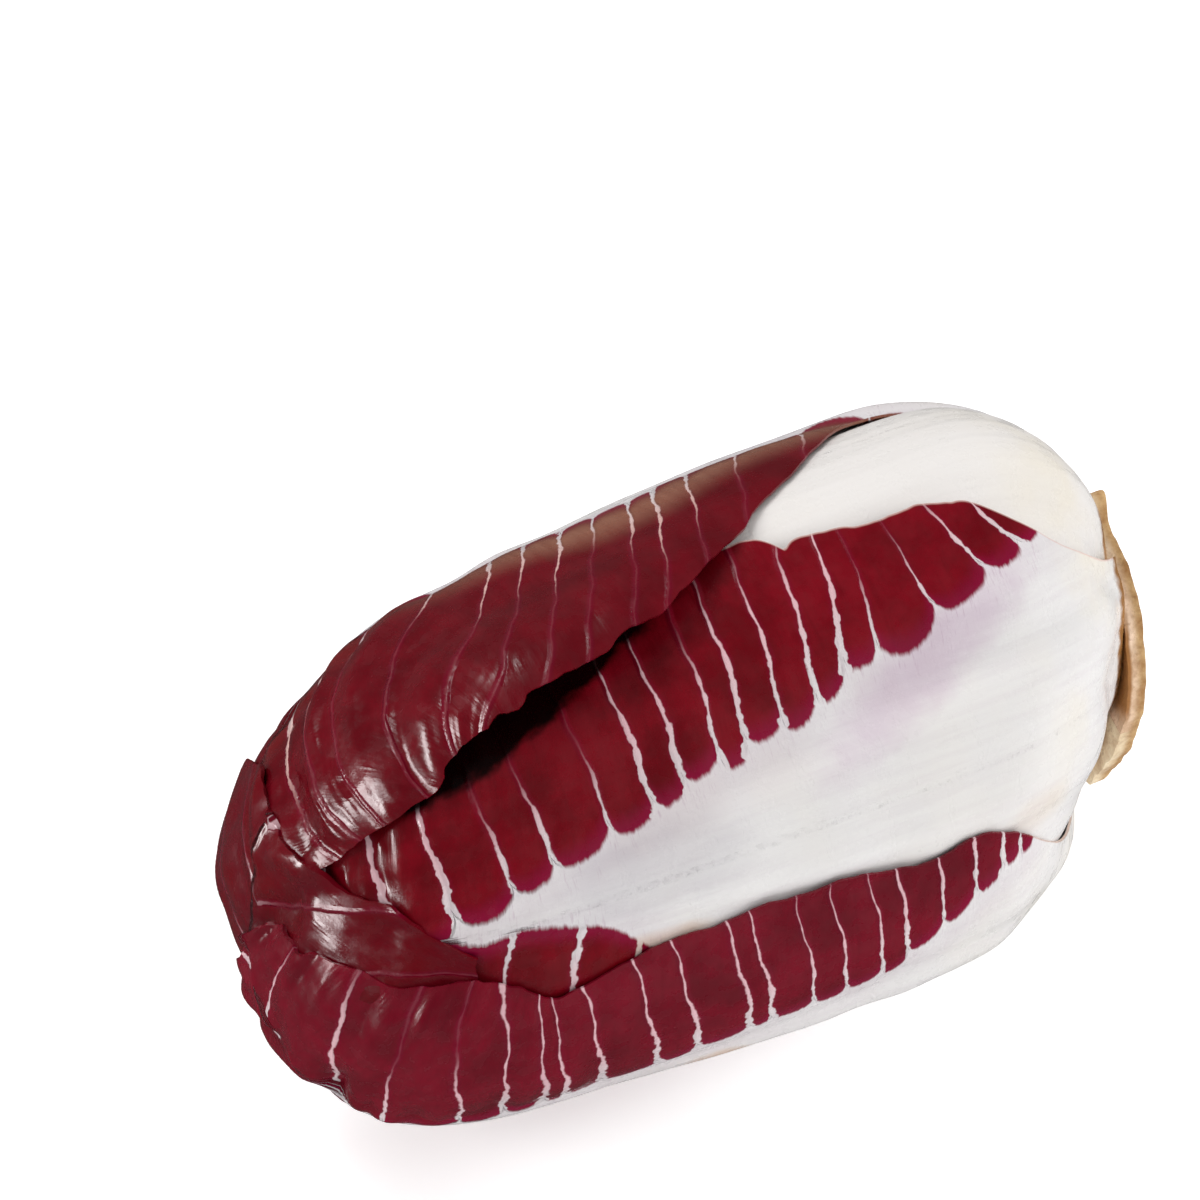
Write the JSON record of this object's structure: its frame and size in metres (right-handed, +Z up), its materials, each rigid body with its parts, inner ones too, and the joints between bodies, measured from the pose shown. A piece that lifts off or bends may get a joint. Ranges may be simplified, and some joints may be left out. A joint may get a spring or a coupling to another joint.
{
  "type": "radicchio head",
  "caption": "Head of long red radicchio lying on its side: red leaves with broad white ribs wrapped round a closed heart, and a cut stem at one end.",
  "frame": {"origin": "under the middle of the head's bounding box, on the surface that the head lies on", "axes": "+X runs along the head from its tip to the cut stem, +Z is up, and the large white rib is on the -Y side"},
  "size_m": [0.1726, 0.0966, 0.0982],
  "materials": {
    "leaf": "waxy leaf, dark red blade and white rib",
    "heart": "pale packed leaves",
    "cut_stem": "dried, browned cut"
  },
  "bodies": {
    "root": {"cut_stem": "cut_stem", "heart": "heart", "leaf_inner_1": "leaf", "leaf_inner_2": "leaf", "leaf_inner_3": "leaf", "leaf_top": "leaf", "leaf_back": "leaf", "leaf_front": "leaf", "leaf_over_top": "leaf", "leaf_tip": "leaf", "leaf_low": "leaf"}
  },
  "joints": []
}
